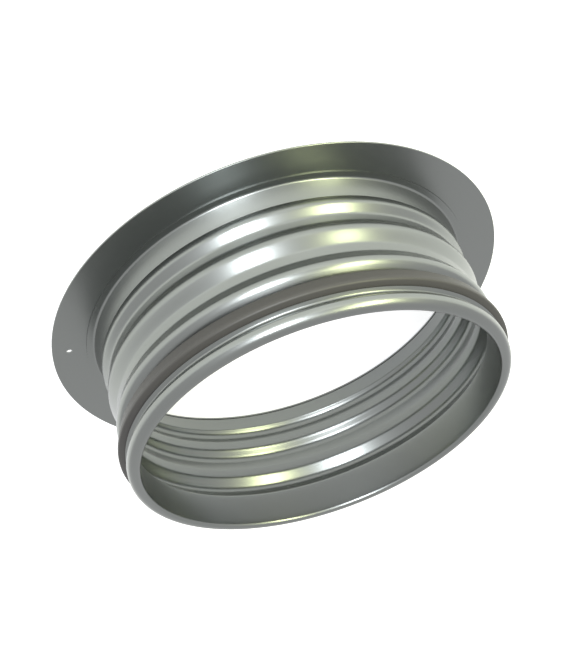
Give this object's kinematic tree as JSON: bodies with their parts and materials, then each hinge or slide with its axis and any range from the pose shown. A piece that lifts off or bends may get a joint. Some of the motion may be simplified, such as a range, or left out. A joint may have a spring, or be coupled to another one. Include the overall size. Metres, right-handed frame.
{
  "type": "smoker pipe connector",
  "caption": "Flanged round duct collar of galvanised sheet with a beaded spigot, a hemmed end and a rubber lip seal.",
  "frame": {"origin": "centre of the flange's flat underside, on the spigot's axis", "axes": "+Z along the spigot's axis, from the flange towards the hemmed end; +X is a fixed direction in the flange, 107 degrees before its small hole"},
  "size_m": [0.243, 0.243, 0.0768],
  "materials": {
    "galvanised_flange": "zinc-coated sheet, matt grey with a soft sheen, a little soiled",
    "galvanised_spigot": "zinc-coated sheet, satin, fine mottled spangle, light scratches and brown soil in the grooves",
    "black_rubber": "matt black rubber with brownish dust"
  },
  "bodies": {
    "root": {"flange_ring": "galvanised_flange", "spigot_tube": "galvanised_spigot", "lip_seal": "black_rubber"}
  },
  "joints": []
}
